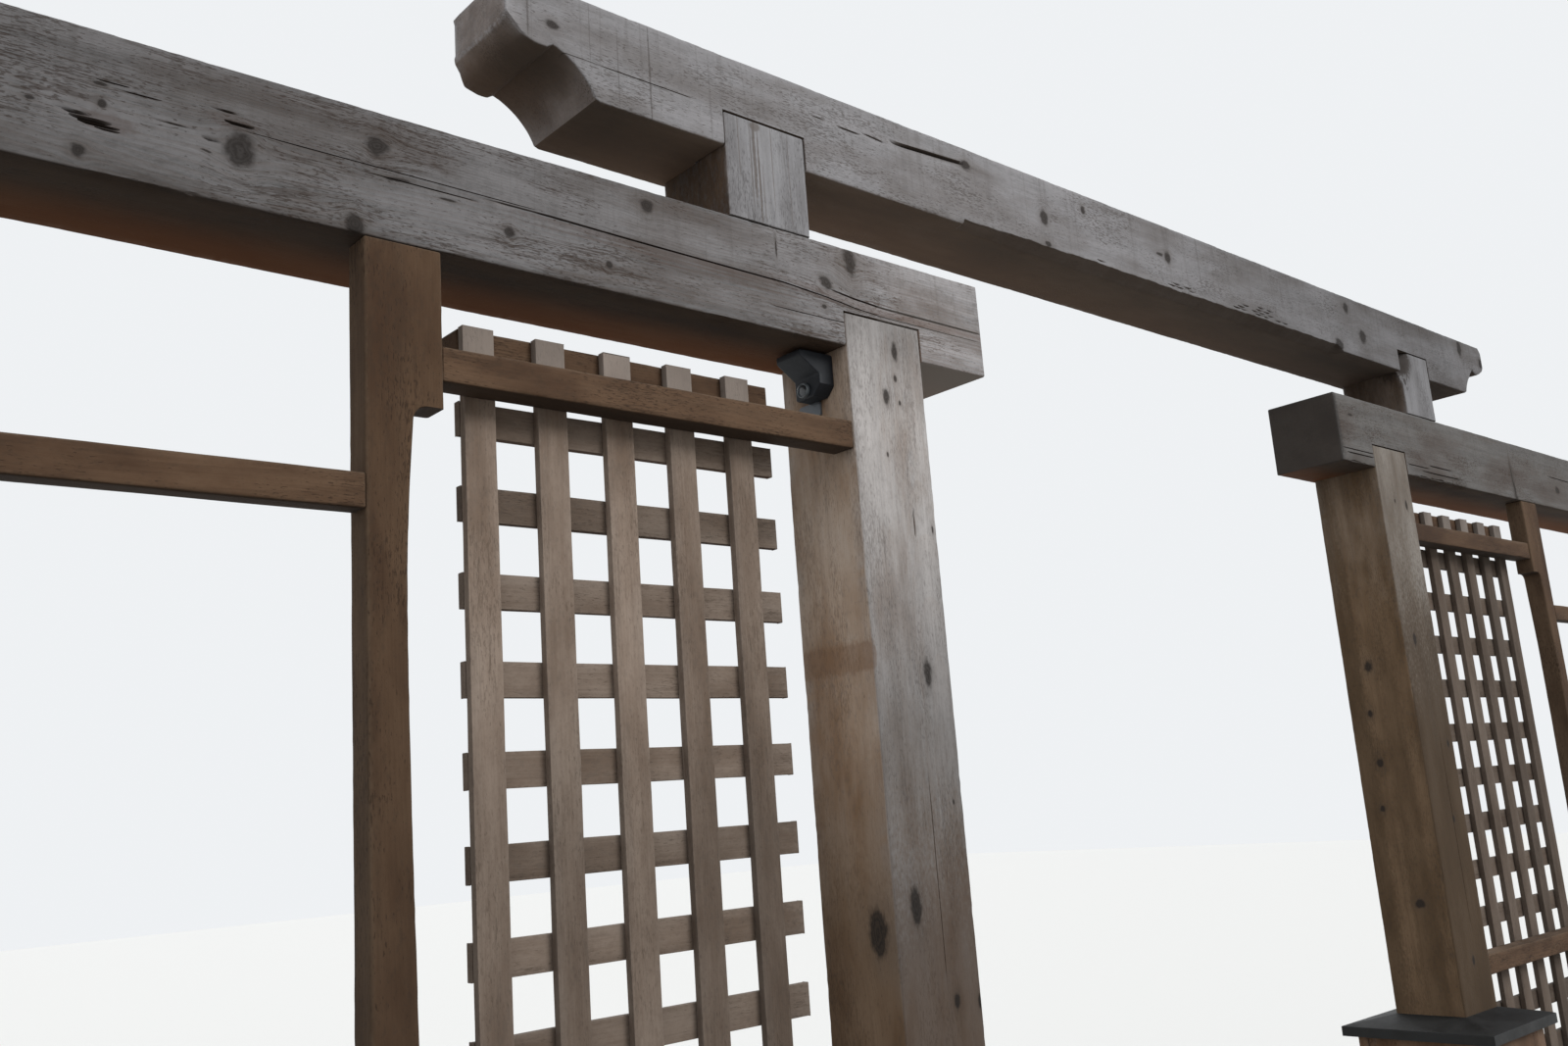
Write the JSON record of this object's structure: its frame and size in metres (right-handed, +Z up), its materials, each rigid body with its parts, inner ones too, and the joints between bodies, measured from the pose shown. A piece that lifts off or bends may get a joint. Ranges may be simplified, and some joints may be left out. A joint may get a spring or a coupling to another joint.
{
  "type": "cedar fence with a gateway arbour",
  "caption": "Timber fence with a gateway arbour: posts in boxed plinths, lapped beams, a raised ogee-ended upper beam, slat lattice panels and open railed bays.",
  "frame": {"origin": "middle of the left main post's foot, on the ground", "axes": "+X along the fence to the right seen from the front, +Y from the front to the back, +Z up"},
  "size_m": [5.272, 0.285, 2.508],
  "materials": {
    "cedar": "weathered, silver-grey in the light and red-brown in the shade",
    "lattice_cedar": "weathered, fine sawn slats",
    "plinth_cedar": "brown weathered boards",
    "cap_metal": "dull slate-grey",
    "light_plastic": "matt dark blue-black",
    "light_glass": "clear ribbed lens",
    "light_bracket": "dull grey"
  },
  "bodies": {
    "root": {"left_back_bottom_rail": "lattice_cedar", "left_back_top_rail": "lattice_cedar", "left_bay_bottom_rail": "lattice_cedar", "left_bay_mid_rail": "lattice_cedar", "left_bay_top_rail": "lattice_cedar", "left_beam": "cedar", "left_bottom_rail": "lattice_cedar", "left_inner_post": "cedar", "left_lattice": "lattice_cedar", "left_main_post": "cedar", "left_mid_rail": "lattice_cedar", "left_outer_plinth_box": "plinth_cedar", "left_outer_plinth_cap": "cap_metal", "left_outer_post": "cedar", "left_plinth_box": "plinth_cedar", "left_plinth_cap": "cap_metal", "left_short_post": "cedar", "left_top_rail": "lattice_cedar", "light_bracket": "light_bracket", "light_housing": "light_plastic", "light_lens": "light_glass", "right_back_bottom_rail": "lattice_cedar", "right_back_top_rail": "lattice_cedar", "right_bay_bottom_rail": "lattice_cedar", "right_bay_mid_rail": "lattice_cedar", "right_bay_top_rail": "lattice_cedar", "right_beam": "cedar", "right_bottom_rail": "lattice_cedar", "right_inner_post": "cedar", "right_lattice": "lattice_cedar", "right_main_post": "cedar", "right_mid_rail": "lattice_cedar", "right_outer_plinth_box": "plinth_cedar", "right_outer_plinth_cap": "cap_metal", "right_outer_post": "cedar", "right_plinth_box": "plinth_cedar", "right_plinth_cap": "cap_metal", "right_short_post": "cedar", "right_top_rail": "lattice_cedar", "upper_beam": "cedar"}
  },
  "joints": []
}
